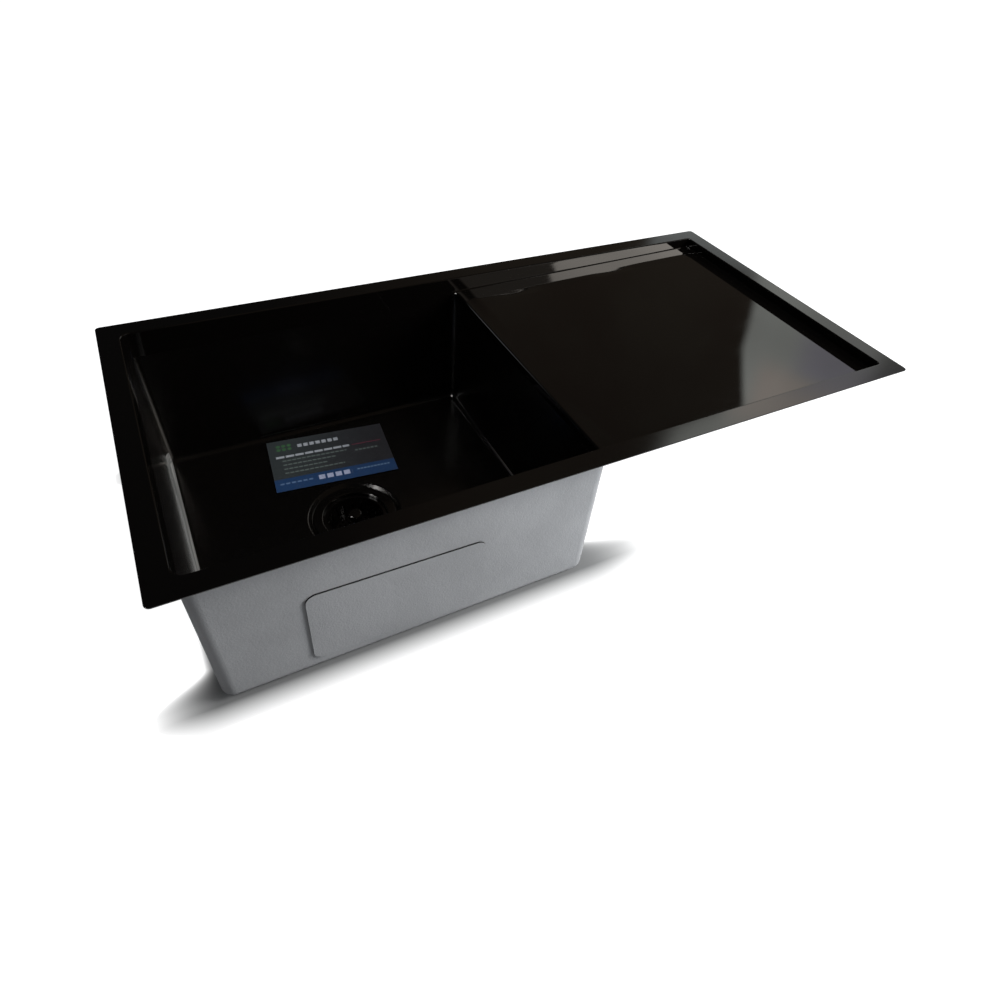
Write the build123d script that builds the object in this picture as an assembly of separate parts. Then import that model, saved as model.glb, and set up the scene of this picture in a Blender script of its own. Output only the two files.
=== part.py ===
from build123d import *
import math
import os

# Utility sink with a drainer on the right, its basket waste and the pads under it.
# Millimetres. The origin is the centre of the rim's outline, in the plane of the rim's underside,
# which is the top of the worktop it rests on. +X runs along the sink towards the drainer,
# +Y to the back and +Z up.

# Deck: one folded steel sheet with rim, recess, drainer and the collar down into the bowl
DECK_LENGTH = 940.0
DECK_WIDTH = 457.0
SHEET = 1.2
RIM_WIDTH = 25.0
RIM_CORNER = 5.5
RIM_EDGE_BREAK = 0.35
RIM_FOLD = 1.7
WELL_CORNER = 12.0
DRAINER_DROP = 14.5
DRAINER_FALL = 7.5
DRAINER_CORNER = 5.0
DRAINER_FOLD = 1.6
LIP_FOLD = 2.8
LIP_MARGIN = 1.0
COLLAR_DROP = 34.0

# Bowl: folded steel box welded under the deck's collar
BOWL_LENGTH = 450.0
BOWL_DEPTH = 210.0
BOWL_FOLD = 9.0
DISH_DEPTH = 4.5
DISH_RIM_R = 63.0
DISH_SEAT_R = 58.0
DISH_RIM_FOLD = 3.0
DISH_SEAT_FOLD = 1.5
DRAIN_HOLE_R = 45.0
DRAIN_OFFSET_X = -14.0
DRAIN_OFFSET_Y = 2.0

# Sprayed coating on the outside of the steel
COAT = 0.8
COAT_RIM_GAP = 3.0
COAT_DISH_MARGIN = 4.0

# Sound pads stuck on the coating
PAD = 2.0
PAD_CORNER = 12.0
LONG_PAD_LENGTH = 202.0
LONG_PAD_HEIGHT = 110.0
LONG_PAD_TOP = 84.0
FRONT_PAD_OFFSET_X = -26.0
FRONT_PAD_TURN = -1.5
SIDE_PAD_LENGTH = 190.0
FLOOR_PAD_LENGTH = 105.0
FLOOR_PAD_WIDTH = 220.0
FLOOR_PAD_GAP = 18.0
DRAINER_PAD_LENGTH = 230.0
DRAINER_PAD_WIDTH = 160.0

# Hat-section stiffeners under the drainer
STIFFENER_LENGTH = 330.0
STIFFENER_CROWN = 24.0
STIFFENER_HEIGHT = 14.0
STIFFENER_FLANGE = 12.0
STIFFENER_SHEET = 1.2
STIFFENER_FOLD = 2.4
STIFFENER_GAP = 30.0

# Care label lying on the bowl's floor, behind the waste
LABEL_LENGTH = 174.0
LABEL_WIDTH = 111.0
LABEL_THICKNESS = 0.2
LABEL_CORNER = 2.0
LABEL_TURN = -6.0
LABEL_OFFSET_X = -8.0
LABEL_BACK_GAP = 20.0

# Waste: strainer body and what clamps it
GASKET_THICKNESS = 1.5
GASKET_R = 54.5
FLANGE_R = 56.0
FLANGE_THICKNESS = 1.5
FLANGE_EDGE_ROUND = 0.7
STRAINER_WALL = 1.2
THROAT_CLEARANCE = 0.6
THROAT_ROUND = 1.6
LEDGE_DROP = 5.5
CUP_R = 40.2
CUP_DEPTH = 47.0
CUP_ROUND = 4.0
THREAD_HEIGHT = 1.0
THREAD_FLANK_SHARE = 0.35
LOCK_PITCH = 2.0
LOCK_THREAD_LENGTH = 34.0
OUTLET_BORE_R = 19.5
OUTLET_CREST_R = 23.9
OUTLET_LENGTH = 22.0
OUTLET_PITCH = 2.309
NUT_RUNNING_CLEARANCE = 0.05
SPIDER_ARM = 3.0
SPIDER_HEIGHT = 5.0
SPIDER_HUB_R = 6.5
SPIDER_SINK = 1.5
UNDERSIDE_WASHER_THICKNESS = 3.0
UNDERSIDE_WASHER_R = 57.0
FRICTION_RING_THICKNESS = 1.5
FRICTION_RING_R = 56.0
RING_CLEARANCE = 0.5
LOCK_NUT_HEIGHT = 13.0
LOCK_NUT_FLANGE = 3.0
LOCK_NUT_FLANGE_R = 56.0
LOCK_NUT_WALL = 6.0
LOCK_NUT_LUGS = 6
LOCK_NUT_LUG_WIDTH = 9.0
LOCK_NUT_LUG_REACH = 5.5
LOCK_NUT_LUG_ROOT = 2.0
LOCK_NUT_LUG_ROUND = 1.5

# Lift-out basket
BASKET_SHEET = 0.8
BASKET_DEPTH = 28.0
BASKET_TOP_CLEARANCE = 1.2
BASKET_RIM_CLEARANCE = 0.6
BASKET_BOTTOM_R = 31.0
BASKET_COLLAR_HEIGHT = 3.5
BASKET_COLLAR_WALL = 1.6
SLOT_COUNT = 18
SLOT_WIDTH = 2.6
SLOT_LENGTH = 14.0
SLOT_DROP = 7.0
DRAIN_HOLE_RINGS = 3
DRAIN_HOLE_DIAMETER = 3.4
DRAIN_HOLE_RING_STEP = 7.0
DRAIN_HOLE_SPACING = 7.0

# Plug: knob, post, seal and retainer, which slide together in the basket
POST_R = 3.0
POST_CLEARANCE = 0.1
POST_TIP_LENGTH = 9.0
POST_TIP_CHAMFER = 0.75
POST_FOOT_R = 8.0
POST_FOOT_THICKNESS = 1.0
SEAL_R = 26.0
SEAL_THICKNESS = 4.0
SEAL_ROUND = 1.2
RETAINER_R = 14.0
RETAINER_THICKNESS = 1.0
KNOB_R = 9.5
KNOB_NECK_R = 6.0
KNOB_HEIGHT = 15.0
KNOB_CROWN = 8.0
KNOB_TOP_RISE = 4.0
KNOB_ROUND = 2.5
KNOB_SOCKET_DEPTH = 9.0

# Outlet: washer, flanged tailpiece and the nut that holds them
TAIL_R = 19.05
TAIL_WALL = 1.5
TAIL_LENGTH = 100.0
TAIL_FLANGE_R = 22.6
TAIL_FLANGE_THICKNESS = 2.5
TAIL_PLAIN_END = 60.0
TAIL_GROOVE_WIDTH = 1.2
TAIL_GROOVE_DEPTH = 0.4
TAIL_WASHER_THICKNESS = 2.0
COUPLING_SHOULDER = 3.0
COUPLING_THREAD_LENGTH = 11.0
COUPLING_WALL = 4.5
COUPLING_TUBE_CLEARANCE = 0.3
COUPLING_RIBS = 12
COUPLING_RIB_R = 1.6

# How far a cutting shape runs past what it cuts, and how near two sizes are to count as one
OVERSHOOT = 1.0
PUNCH_REACH = 2.4
NEAR = 0.01

# Levels and places that follow from the sizes above
RIM_TOP = SHEET
WELL_LEFT = -DECK_LENGTH / 2 + RIM_WIDTH
WELL_RIGHT = DECK_LENGTH / 2 - RIM_WIDTH
WELL_BACK = DECK_WIDTH / 2 - RIM_WIDTH
WELL_FRONT = -WELL_BACK
BOWL_RIGHT = WELL_LEFT + BOWL_LENGTH
BOWL_CENTRE_X = (WELL_LEFT + BOWL_RIGHT) / 2
DRAINER_LENGTH = WELL_RIGHT - BOWL_RIGHT
DRAINER_LOW = RIM_TOP - DRAINER_DROP - DRAINER_FALL
COLLAR_Z = RIM_TOP - COLLAR_DROP
FLOOR_Z = RIM_TOP - BOWL_DEPTH
SEAT_Z = FLOOR_Z - DISH_DEPTH
SKIN = SHEET + COAT
BELOW = COLLAR_DROP + BOWL_DEPTH
FALL_ANGLE = math.degrees(math.atan2(DRAINER_FALL, DRAINER_LENGTH))
DRAIN_X = BOWL_CENTRE_X + DRAIN_OFFSET_X
DRAIN_Y = DRAIN_OFFSET_Y
DRAINER_PLANE = Plane(
    origin=(BOWL_RIGHT, 0, DRAINER_LOW),
    x_dir=(math.cos(math.radians(FALL_ANGLE)), 0, math.sin(math.radians(FALL_ANGLE))),
    z_dir=(-math.sin(math.radians(FALL_ANGLE)), 0, math.cos(math.radians(FALL_ANGLE))),
)


def rounded_block(x0, x1, y0, y1, z0, z1, corner):
    """Upright block between two levels, with round vertical corners."""
    outline = Pos((x0 + x1) / 2, (y0 + y1) / 2, z0) * RectangleRounded(x1 - x0, y1 - y0, corner)
    return extrude(outline, z1 - z0)


def turned(points):
    """Solid turned about Z from a closed outline of (radius, level) points."""
    return revolve(Plane.XZ * make_face(Polyline(*points, close=True)), Axis.Z)


def ring(inner_r, outer_r, top, thickness):
    """Flat ring that hangs down from a level."""
    blank = Cylinder(outer_r, thickness, align=(Align.CENTER, Align.CENTER, Align.MAX))
    hole = Cylinder(inner_r, thickness, align=(Align.CENTER, Align.CENTER, Align.MAX))
    return Pos(0, 0, top) * (blank - hole)


def circles_at(solid, radius, level):
    """Circular edges of one radius at one level."""
    return [
        edge
        for edge in solid.edges().filter_by(GeomType.CIRCLE)
        if abs(edge.radius - radius) < NEAR and abs(edge.arc_center.Z - level) < NEAR
    ]


def lowest_face(solid):
    return solid.faces().sort_by(Axis.Z)[0]


def highest_face(solid):
    return solid.faces().sort_by(Axis.Z)[-1]


def well_outline(grow, bottom):
    """Space inside the recess walls, grown by a skin, from a level up through the rim.

    Its corners are round over the bowl and sharper at the drainer's end.
    """
    outline = Pos((WELL_LEFT + WELL_RIGHT) / 2, 0, bottom) * Rectangle(
        WELL_RIGHT - WELL_LEFT + 2 * grow, WELL_BACK - WELL_FRONT + 2 * grow
    )
    corners = outline.vertices().sort_by(Axis.X)
    outline = fillet(corners[:2], WELL_CORNER + grow)
    outline = fillet(outline.vertices().sort_by(Axis.X)[-2:], DRAINER_CORNER + grow)
    return extrude(outline, RIM_TOP + OVERSHOOT - bottom)


def mouth_outline(grow, spread, bottom, top):
    """Space inside the bowl's walls, grown by a skin and spread on by the width of the lip."""
    reach = grow + spread
    return rounded_block(
        WELL_LEFT - reach, BOWL_RIGHT + reach, WELL_FRONT - reach, WELL_BACK + reach,
        bottom, top, WELL_CORNER + reach,
    )


def under_drainer(grow):
    """Everything below the drainer's floor, which falls towards the bowl."""
    block = Box(
        3 * DECK_LENGTH, 2 * DECK_WIDTH, BELOW,
        align=(Align.CENTER, Align.CENTER, Align.MAX),
    )
    return DRAINER_PLANE * Pos(0, 0, -grow) * block


def deck_space(grow):
    """Recess, drainer and mouth of the bowl as one space, grown by a skin."""
    lip = LIP_FOLD - grow
    below = under_drainer(grow)
    well = well_outline(grow, -BELOW)
    recess = well - below
    recess = fillet(lowest_face(recess).edges(), DRAINER_FOLD + grow)
    pierced = below - mouth_outline(grow, 0, -2 * BELOW, BELOW)
    pierced = fillet(highest_face(pierced).inner_wires()[0].edges(), lip)
    mouth = mouth_outline(grow, lip + LIP_MARGIN + grow, -BELOW, RIM_TOP + OVERSHOOT) - below
    throat = below - pierced
    return recess + (well & mouth) + (well & throat)


def between(solid, low, high):
    """The part of a solid between two levels."""
    slab = Pos(0, 0, low) * Box(
        2 * DECK_LENGTH, 2 * DECK_WIDTH, high - low,
        align=(Align.CENTER, Align.CENTER, Align.MIN),
    )
    return solid & slab


def deck():
    """Rim, recess walls, drainer and collar, folded from one sheet."""
    rim = extrude(RectangleRounded(DECK_LENGTH, DECK_WIDTH, RIM_CORNER), RIM_TOP)
    rim = fillet(highest_face(rim).edges(), RIM_EDGE_BREAK)
    skin = between(deck_space(SHEET), COLLAR_Z, 0)
    sheet = rim + skin - deck_space(0)
    sheet = fillet(highest_face(sheet).inner_wires()[0].edges(), RIM_FOLD)
    underside = [f for f in sheet.faces().filter_by(Axis.Z) if abs(f.center().Z) < NEAR]
    return fillet(underside[0].inner_wires()[0].edges(), RIM_FOLD - SHEET)


def drainer_coating():
    """Coating on the outside of the recess walls and under the drainer."""
    skin = deck_space(SKIN) - deck_space(SHEET)
    return between(skin, COLLAR_Z, -COAT_RIM_GAP)


def bowl_space(grow):
    """Inside of the bowl with its stamped dish, grown by a skin."""
    box = mouth_outline(grow, 0, FLOOR_Z - grow, COLLAR_Z)
    box = fillet(lowest_face(box).edges(), BOWL_FOLD + grow)
    slope = math.atan2(DISH_DEPTH, DISH_RIM_R - DISH_SEAT_R)
    shift = grow * math.tan(slope / 2)
    top = FLOOR_Z - grow
    bottom = SEAT_Z - grow
    dish = Pos(DRAIN_X, DRAIN_Y, bottom) * Cone(
        DISH_SEAT_R + shift, DISH_RIM_R + shift, DISH_DEPTH,
        align=(Align.CENTER, Align.CENTER, Align.MIN),
    )
    space = box + dish
    space = fillet(circles_at(space, DISH_RIM_R + shift, top), DISH_RIM_FOLD - grow)
    return fillet(circles_at(space, DISH_SEAT_R + shift, bottom), DISH_SEAT_FOLD + grow)


def drain_hole():
    return Pos(DRAIN_X, DRAIN_Y, SEAT_Z) * Cylinder(DRAIN_HOLE_R, DISH_DEPTH)


def bowl():
    """Folded bowl with the dish and the hole for the waste."""
    return bowl_space(SHEET) - bowl_space(0) - drain_hole()


def bowl_coating():
    """Coating on the outside of the bowl, left off round the dish."""
    masked_r = DISH_RIM_R + SKIN + COAT_DISH_MARGIN
    mask = Pos(DRAIN_X, DRAIN_Y, FLOOR_Z) * Cylinder(masked_r, 2 * DISH_DEPTH)
    box = mouth_outline(SKIN, 0, FLOOR_Z - SKIN, COLLAR_Z)
    box = fillet(lowest_face(box).edges(), BOWL_FOLD + SKIN)
    return box - bowl_space(SHEET) - mask


def pad(place, length, width):
    """Sound pad with round corners, standing out of a plane."""
    return extrude(place * RectangleRounded(length, width, PAD_CORNER), PAD)


def wall_pad_level():
    return RIM_TOP - LONG_PAD_TOP - LONG_PAD_HEIGHT / 2


def front_sound_pad():
    origin = (BOWL_CENTRE_X + FRONT_PAD_OFFSET_X, WELL_FRONT - SKIN, wall_pad_level())
    place = Plane(origin=origin, x_dir=(1, 0, 0), z_dir=(0, -1, 0))
    return pad(place * Rot(0, 0, FRONT_PAD_TURN), LONG_PAD_LENGTH, LONG_PAD_HEIGHT)


def back_sound_pad():
    origin = (BOWL_CENTRE_X, WELL_BACK + SKIN, wall_pad_level())
    return pad(Plane(origin=origin, x_dir=(-1, 0, 0), z_dir=(0, 1, 0)), LONG_PAD_LENGTH, LONG_PAD_HEIGHT)


def left_sound_pad():
    origin = (WELL_LEFT - SKIN, 0, wall_pad_level())
    return pad(Plane(origin=origin, x_dir=(0, -1, 0), z_dir=(-1, 0, 0)), SIDE_PAD_LENGTH, LONG_PAD_HEIGHT)


def right_sound_pad():
    origin = (BOWL_RIGHT + SKIN, 0, wall_pad_level())
    return pad(Plane(origin=origin, x_dir=(0, 1, 0), z_dir=(1, 0, 0)), SIDE_PAD_LENGTH, LONG_PAD_HEIGHT)


def floor_sound_pads():
    """Two pads under the floor, one each side of the dish."""
    reach = DISH_RIM_R + SKIN + COAT_DISH_MARGIN + FLOOR_PAD_GAP + FLOOR_PAD_LENGTH / 2
    pads = []
    for side in (-1, 1):
        origin = (DRAIN_X + side * reach, DRAIN_Y, FLOOR_Z - SKIN)
        place = Plane(origin=origin, x_dir=(1, 0, 0), z_dir=(0, 0, -1))
        pads.append(pad(place, FLOOR_PAD_LENGTH, FLOOR_PAD_WIDTH))
    return Compound(children=pads)


def drainer_sound_pad():
    middle = DRAINER_PLANE * Pos(DRAINER_LENGTH / 2, 0, -SKIN)
    return middle * Rot(180, 0, 0) * pad(Plane.XY, DRAINER_PAD_LENGTH, DRAINER_PAD_WIDTH)


def stiffener():
    """Hat-section rib that hangs under the plane z = 0 and runs along X."""
    crown = Box(
        STIFFENER_LENGTH, STIFFENER_CROWN, STIFFENER_HEIGHT,
        align=(Align.CENTER, Align.CENTER, Align.MAX),
    )
    hollow = Box(
        STIFFENER_LENGTH, STIFFENER_CROWN - 2 * STIFFENER_SHEET, STIFFENER_HEIGHT - STIFFENER_SHEET,
        align=(Align.CENTER, Align.CENTER, Align.MAX),
    )
    folds = crown.edges().filter_by(Axis.X).group_by(Axis.Z)[0]
    flange = Box(
        STIFFENER_LENGTH, STIFFENER_CROWN + 2 * STIFFENER_FLANGE, STIFFENER_SHEET,
        align=(Align.CENTER, Align.CENTER, Align.MAX),
    )
    return fillet(folds, STIFFENER_FOLD) + flange - hollow


def drainer_stiffeners():
    """Two ribs, one each side of the drainer's pad."""
    reach = DRAINER_PAD_WIDTH / 2 + STIFFENER_GAP + STIFFENER_CROWN / 2 + STIFFENER_FLANGE
    middle = DRAINER_PLANE * Pos(DRAINER_LENGTH / 2, 0, -SKIN)
    return Compound(children=[middle * Pos(0, side * reach, 0) * stiffener() for side in (-1, 1)])


def care_label():
    """Thin rectangular label lying on the bowl's floor."""
    x = BOWL_CENTRE_X + LABEL_OFFSET_X
    y = WELL_BACK - LABEL_BACK_GAP - LABEL_WIDTH / 2
    place = Pos(x, y, FLOOR_Z) * Rot(0, 0, LABEL_TURN)
    return place * extrude(RectangleRounded(LABEL_LENGTH, LABEL_WIDTH, LABEL_CORNER), LABEL_THICKNESS)


# Levels of the waste, measured from the dish's seat
FLANGE_TOP = GASKET_THICKNESS + FLANGE_THICKNESS
THROAT_R = DRAIN_HOLE_R - THROAT_CLEARANCE - STRAINER_WALL
LEDGE_Z = FLANGE_TOP - LEDGE_DROP
CUP_FLOOR_Z = FLANGE_TOP - CUP_DEPTH
CUP_UNDERSIDE_Z = CUP_FLOOR_Z - STRAINER_WALL
LOCK_ROOT_R = CUP_R + STRAINER_WALL
LOCK_CREST_R = LOCK_ROOT_R + THREAD_HEIGHT
OUTLET_ROOT_R = OUTLET_CREST_R - THREAD_HEIGHT
OUTLET_END_Z = CUP_UNDERSIDE_Z - OUTLET_LENGTH
WASHER_Z = -SHEET
FRICTION_RING_Z = WASHER_Z - UNDERSIDE_WASHER_THICKNESS
LOCK_NUT_Z = FRICTION_RING_Z - FRICTION_RING_THICKNESS
BASKET_FLOOR_Z = LEDGE_Z - BASKET_DEPTH
SEAL_TOP_Z = CUP_FLOOR_Z + SEAL_THICKNESS
TAIL_TOP_Z = OUTLET_END_Z - TAIL_WASHER_THICKNESS


def thread_ridges(root_r, crest_r, top, pitch, length):
    """Outline points down a thread: one flat-topped ridge for each whole turn."""
    points = [(root_r, top)]
    for turn in range(math.ceil(length / pitch) - 1):
        start = top - turn * pitch
        points.append((crest_r, start - THREAD_FLANK_SHARE * pitch))
        points.append((crest_r, start - (1 - THREAD_FLANK_SHARE) * pitch))
        points.append((root_r, start - pitch))
    return points


def strainer_body():
    """Flange, cup, cross bars and outlet of the waste."""
    shoulder_z = LEDGE_Z - STRAINER_WALL
    outside = [(FLANGE_R, GASKET_THICKNESS), (THROAT_R + STRAINER_WALL, GASKET_THICKNESS)]
    outside += [(THROAT_R + STRAINER_WALL, shoulder_z)]
    outside += thread_ridges(LOCK_ROOT_R, LOCK_CREST_R, shoulder_z, LOCK_PITCH, LOCK_THREAD_LENGTH)
    outside += [(LOCK_ROOT_R, CUP_UNDERSIDE_Z)]
    outside += thread_ridges(OUTLET_ROOT_R, OUTLET_CREST_R, CUP_UNDERSIDE_Z, OUTLET_PITCH, OUTLET_LENGTH)
    outside += [(OUTLET_ROOT_R, OUTLET_END_Z), (OUTLET_BORE_R, OUTLET_END_Z)]
    inside = [(OUTLET_BORE_R, CUP_FLOOR_Z), (CUP_R, CUP_FLOOR_Z), (CUP_R, LEDGE_Z)]
    inside += [(THROAT_R, LEDGE_Z), (THROAT_R, FLANGE_TOP), (FLANGE_R, FLANGE_TOP)]
    body = turned(outside + inside)
    body = fillet(circles_at(body, CUP_R, CUP_FLOOR_Z), CUP_ROUND)
    body = fillet(circles_at(body, LOCK_ROOT_R, CUP_UNDERSIDE_Z), CUP_ROUND)
    body = fillet(circles_at(body, THROAT_R, FLANGE_TOP), THROAT_ROUND)
    body = fillet(circles_at(body, FLANGE_R, FLANGE_TOP), FLANGE_EDGE_ROUND)
    return body + spider()


def spider():
    """Cross bars and hub in the outlet, which guide the plug's post."""
    top = CUP_FLOOR_Z - SPIDER_SINK
    reach = (OUTLET_BORE_R + OUTLET_ROOT_R) / 2
    align = (Align.CENTER, Align.CENTER, Align.MAX)
    bars = Box(2 * reach, SPIDER_ARM, SPIDER_HEIGHT, align=align)
    bars += Box(SPIDER_ARM, 2 * reach, SPIDER_HEIGHT, align=align)
    bars += Cylinder(SPIDER_HUB_R, SPIDER_HEIGHT, align=align)
    bars -= Cylinder(POST_R + POST_CLEARANCE, SPIDER_HEIGHT, align=align)
    return Pos(0, 0, top) * bars


def flange_gasket():
    return ring(DRAIN_HOLE_R, GASKET_R, GASKET_THICKNESS, GASKET_THICKNESS)


def underside_washer():
    return ring(DRAIN_HOLE_R, UNDERSIDE_WASHER_R, WASHER_Z, UNDERSIDE_WASHER_THICKNESS)


def friction_ring():
    return ring(LOCK_CREST_R + RING_CLEARANCE, FRICTION_RING_R, FRICTION_RING_Z, FRICTION_RING_THICKNESS)


def lock_nut():
    """Ring nut with a flange and lugs to turn it by."""
    bore_r = LOCK_CREST_R + NUT_RUNNING_CLEARANCE
    body_r = bore_r + LOCK_NUT_WALL
    align = (Align.CENTER, Align.CENTER, Align.MAX)
    nut = ring(bore_r, body_r, 0, LOCK_NUT_HEIGHT) + ring(bore_r, LOCK_NUT_FLANGE_R, 0, LOCK_NUT_FLANGE)
    lug = Pos(body_r + (LOCK_NUT_LUG_REACH - LOCK_NUT_LUG_ROOT) / 2, 0, 0) * Box(
        LOCK_NUT_LUG_REACH + LOCK_NUT_LUG_ROOT, LOCK_NUT_LUG_WIDTH, LOCK_NUT_HEIGHT, align=align
    )
    lug = fillet(lug.edges().filter_by(Axis.Z).group_by(Axis.X)[-1], LOCK_NUT_LUG_ROUND)
    for turn in range(LOCK_NUT_LUGS):
        nut += Rot(0, 0, turn * 360 / LOCK_NUT_LUGS) * lug
    return Pos(0, 0, LOCK_NUT_Z) * nut


def strainer_basket():
    """Perforated cup that hangs on the ledge by its rim."""
    top = LEDGE_Z + BASKET_SHEET
    rim_r = THROAT_R - BASKET_RIM_CLEARANCE
    mouth_r = CUP_R - BASKET_TOP_CLEARANCE
    post_hole_r = POST_R + POST_CLEARANCE
    collar_r = post_hole_r + BASKET_COLLAR_WALL
    floor = BASKET_FLOOR_Z + BASKET_SHEET
    outside = [(rim_r, top), (rim_r, LEDGE_Z), (mouth_r, LEDGE_Z), (BASKET_BOTTOM_R, BASKET_FLOOR_Z)]
    hub = [(post_hole_r, BASKET_FLOOR_Z), (post_hole_r, floor + BASKET_COLLAR_HEIGHT)]
    hub += [(collar_r, floor + BASKET_COLLAR_HEIGHT), (collar_r, floor)]
    inside = [(BASKET_BOTTOM_R - BASKET_SHEET, floor), (mouth_r - BASKET_SHEET, top)]
    basket = turned(outside + hub + inside)
    lean = math.degrees(math.atan2(mouth_r - BASKET_BOTTOM_R, BASKET_DEPTH))
    share = (SLOT_DROP + SLOT_LENGTH / 2) / BASKET_DEPTH
    slot_r = mouth_r + share * (BASKET_BOTTOM_R - mouth_r)
    slot = Plane.YZ * SlotOverall(SLOT_LENGTH, SLOT_WIDTH, rotation=90)
    slot = Rot(0, lean, 0) * extrude(slot, PUNCH_REACH, both=True)
    slot = Pos(slot_r, 0, LEDGE_Z - share * BASKET_DEPTH) * slot
    cuts = [Rot(0, 0, turn * 360 / SLOT_COUNT) * slot for turn in range(SLOT_COUNT)]
    hole = Cylinder(DRAIN_HOLE_DIAMETER / 2, 2 * PUNCH_REACH)
    for row in range(DRAIN_HOLE_RINGS):
        ring_r = BASKET_BOTTOM_R - BASKET_SHEET - DRAIN_HOLE_DIAMETER - row * DRAIN_HOLE_RING_STEP
        count = int(2 * math.pi * ring_r / DRAIN_HOLE_SPACING)
        for turn in range(count):
            cuts.append(Rot(0, 0, turn * 360 / count) * Pos(ring_r, 0, BASKET_FLOOR_Z) * hole)
    return basket - Compound(children=cuts)


def plug_post():
    """Rod from the knob down through basket, seal and cross bars."""
    foot_z = CUP_FLOOR_Z - POST_FOOT_THICKNESS
    top = FLANGE_TOP + KNOB_TOP_RISE - KNOB_HEIGHT + KNOB_SOCKET_DEPTH
    tip = CUP_FLOOR_Z - POST_TIP_LENGTH
    rod = Pos(0, 0, tip) * Cylinder(POST_R, top - tip, align=(Align.CENTER, Align.CENTER, Align.MIN))
    rod = chamfer(circles_at(rod, POST_R, tip), POST_TIP_CHAMFER)
    foot = Cylinder(POST_FOOT_R, POST_FOOT_THICKNESS, align=(Align.CENTER, Align.CENTER, Align.MIN))
    return rod + Pos(0, 0, foot_z) * foot


def plug_seal():
    seal = ring(POST_R + POST_CLEARANCE, SEAL_R, SEAL_TOP_Z, SEAL_THICKNESS)
    return fillet(circles_at(seal, SEAL_R, SEAL_TOP_Z), SEAL_ROUND)


def seal_retainer():
    return ring(POST_R + POST_CLEARANCE, RETAINER_R, SEAL_TOP_Z + RETAINER_THICKNESS, RETAINER_THICKNESS)


def plug_knob():
    """Mushroom knob with a socket for the post."""
    top = FLANGE_TOP + KNOB_TOP_RISE
    bottom = top - KNOB_HEIGHT
    align = (Align.CENTER, Align.CENTER, Align.MIN)
    neck = Pos(0, 0, bottom) * Cylinder(KNOB_NECK_R, KNOB_HEIGHT - KNOB_CROWN / 2, align=align)
    crown = Pos(0, 0, top - KNOB_CROWN) * Cylinder(KNOB_R, KNOB_CROWN, align=align)
    crown = fillet(circles_at(crown, KNOB_R, top), KNOB_ROUND)
    crown = fillet(circles_at(crown, KNOB_R, top - KNOB_CROWN), KNOB_ROUND / 2)
    socket = Pos(0, 0, bottom) * Cylinder(POST_R + POST_CLEARANCE, KNOB_SOCKET_DEPTH, align=align)
    return neck + crown - socket


def tailpiece():
    """Flanged outlet tube with a rolled line that marks how far a trap goes on."""
    groove_top = TAIL_TOP_Z - TAIL_LENGTH + TAIL_PLAIN_END + TAIL_GROOVE_WIDTH
    tube = ring(TAIL_R - TAIL_WALL, TAIL_R, TAIL_TOP_Z, TAIL_LENGTH)
    tube += ring(TAIL_R - TAIL_WALL, TAIL_FLANGE_R, TAIL_TOP_Z, TAIL_FLANGE_THICKNESS)
    return tube - ring(TAIL_R - TAIL_GROOVE_DEPTH, TAIL_R + OVERSHOOT, groove_top, TAIL_GROOVE_WIDTH)


def tailpiece_washer():
    return ring(OUTLET_BORE_R, TAIL_FLANGE_R, OUTLET_END_Z, TAIL_WASHER_THICKNESS)


def coupling_nut():
    """Nut that draws the tailpiece's flange up to the outlet."""
    shoulder_top = TAIL_TOP_Z - TAIL_FLANGE_THICKNESS
    height = COUPLING_THREAD_LENGTH + TAIL_WASHER_THICKNESS + TAIL_FLANGE_THICKNESS
    bore_r = OUTLET_CREST_R + NUT_RUNNING_CLEARANCE
    outer_r = bore_r + COUPLING_WALL
    nut = ring(bore_r, outer_r, shoulder_top + height, height)
    nut += ring(TAIL_R + COUPLING_TUBE_CLEARANCE, outer_r, shoulder_top, COUPLING_SHOULDER)
    full = height + COUPLING_SHOULDER
    rib = Pos(outer_r, 0, shoulder_top + height) * Cylinder(
        COUPLING_RIB_R, full, align=(Align.CENTER, Align.CENTER, Align.MAX)
    )
    for turn in range(COUPLING_RIBS):
        nut += Rot(0, 0, turn * 360 / COUPLING_RIBS) * rib
    return nut


SHELL = [
    deck, bowl, bowl_coating, drainer_coating,
    front_sound_pad, back_sound_pad, left_sound_pad, right_sound_pad, floor_sound_pads,
    drainer_sound_pad, drainer_stiffeners, care_label,
]
WASTE = [
    strainer_body, flange_gasket, underside_washer, friction_ring, lock_nut,
    strainer_basket, plug_post, plug_knob, plug_seal, seal_retainer,
    tailpiece, tailpiece_washer, coupling_nut,
]


def main():
    os.makedirs("parts", exist_ok=True)
    for make in SHELL:
        export_step(make(), f"parts/{make.__name__}.step")
    for make in WASTE:
        export_step(Pos(DRAIN_X, DRAIN_Y, SEAT_Z) * make(), f"parts/{make.__name__}.step")


main()
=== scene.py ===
"""Looks of the utility sink with drainer: its finishes, the printed label, the stage, lamps and camera."""

import math

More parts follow.
